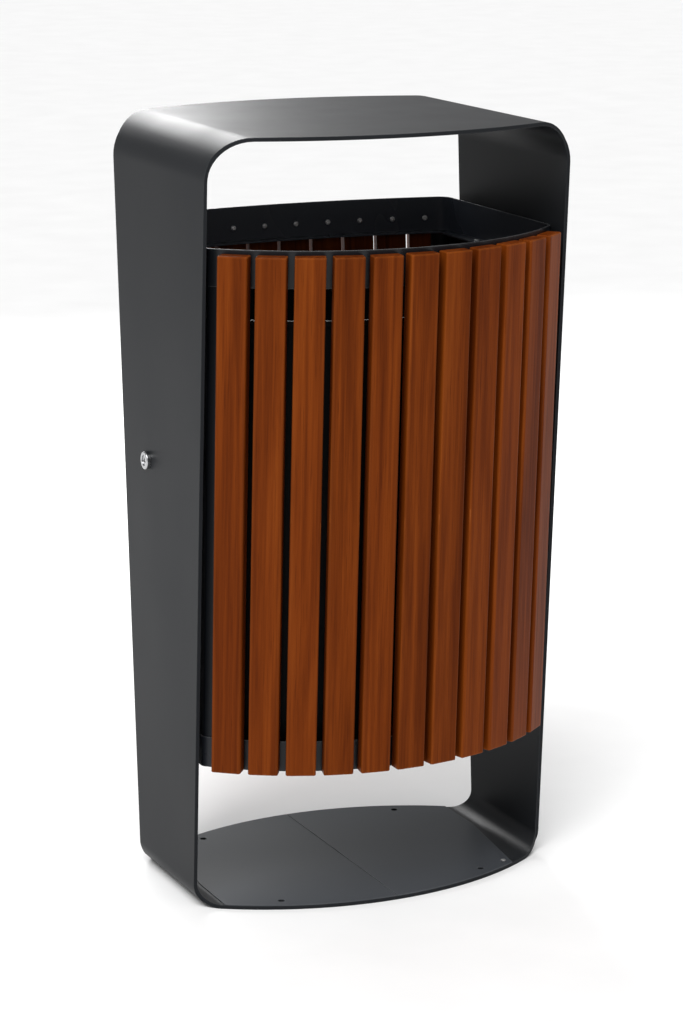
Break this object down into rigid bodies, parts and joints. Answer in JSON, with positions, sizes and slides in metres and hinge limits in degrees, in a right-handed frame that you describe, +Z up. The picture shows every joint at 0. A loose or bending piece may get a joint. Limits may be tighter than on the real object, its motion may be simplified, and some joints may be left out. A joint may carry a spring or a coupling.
{
  "type": "litter bin",
  "caption": "Street litter bin: timber-slatted body tilting on side pivots inside a bent-steel loop frame, with a lift-out liner and a cam lock in one side plate.",
  "frame": {"origin": "on the ground under the middle of the bin, halfway between the two side plates and between the plates' front and rear edges", "axes": "+Z up, +X to the right when facing the front, front of the bin towards -Y"},
  "size_m": [0.51, 0.4665, 1],
  "materials": {
    "anthracite_coat": "satin powder coat, fine texture",
    "oiled_wood": "stained hardwood, satin, grain along the slat",
    "zinc_steel": "zinc-plated, satin",
    "dark_screw": "blackened, satin",
    "black_nylon": "matte",
    "chrome_lock": "satin chrome",
    "liner_steel": "black powder coat, matte"
  },
  "bodies": {
    "frame": {"loop_frame": "anthracite_coat", "base_cover_left": "anthracite_coat", "base_cover_right": "anthracite_coat", "base_cover_screws": "dark_screw", "pivot_stud_left": "zinc_steel", "pivot_stud_right": "zinc_steel", "pivot_nut_left": "zinc_steel", "pivot_nut_right": "zinc_steel", "lock_barrel": "chrome_lock", "lock_nut": "zinc_steel"},
    "slatted_body": {"rim_ring": "anthracite_coat", "bottom_ring": "anthracite_coat", "side_panel_left": "anthracite_coat", "side_panel_right": "anthracite_coat", "panel_rivets": "zinc_steel", "rim_screws": "zinc_steel", "bottom_ring_screws": "zinc_steel", "pivot_bush_left": "black_nylon", "pivot_bush_right": "black_nylon", "lock_keeper": "anthracite_coat", "front_slat_01": "oiled_wood", "front_slat_02": "oiled_wood", "front_slat_03": "oiled_wood", "front_slat_04": "oiled_wood", "front_slat_05": "oiled_wood", "front_slat_06": "oiled_wood", "front_slat_07": "oiled_wood", "front_slat_08": "oiled_wood", "front_slat_09": "oiled_wood", "front_slat_10": "oiled_wood", "front_slat_11": "oiled_wood", "rear_slat_01": "oiled_wood", "rear_slat_02": "oiled_wood", "rear_slat_03": "oiled_wood", "rear_slat_04": "oiled_wood", "rear_slat_05": "oiled_wood", "rear_slat_06": "oiled_wood", "rear_slat_07": "oiled_wood", "rear_slat_08": "oiled_wood", "rear_slat_09": "oiled_wood", "rear_slat_10": "oiled_wood"},
    "lock": {"lock_plug": "chrome_lock", "lock_cam": "zinc_steel"},
    "liner": {"liner": "liner_steel"}
  },
  "joints": [
    {"name": "body_tilt", "type": "hinge", "parent": "frame", "child": "slatted_body", "pos_m": [0, 0, 0.564], "axis": [1, 0, 0], "range_deg": [0, 120]},
    {"name": "lock_turn", "type": "hinge", "parent": "frame", "child": "lock", "pos_m": [-0.247, 0.045, 0.564], "axis": [-1, 0, 0], "range_deg": [0, 90]},
    {"name": "liner_lift", "type": "slide", "parent": "slatted_body", "child": "liner", "axis": [0, 0, 1], "range_m": [0, 0.2]}
  ]
}
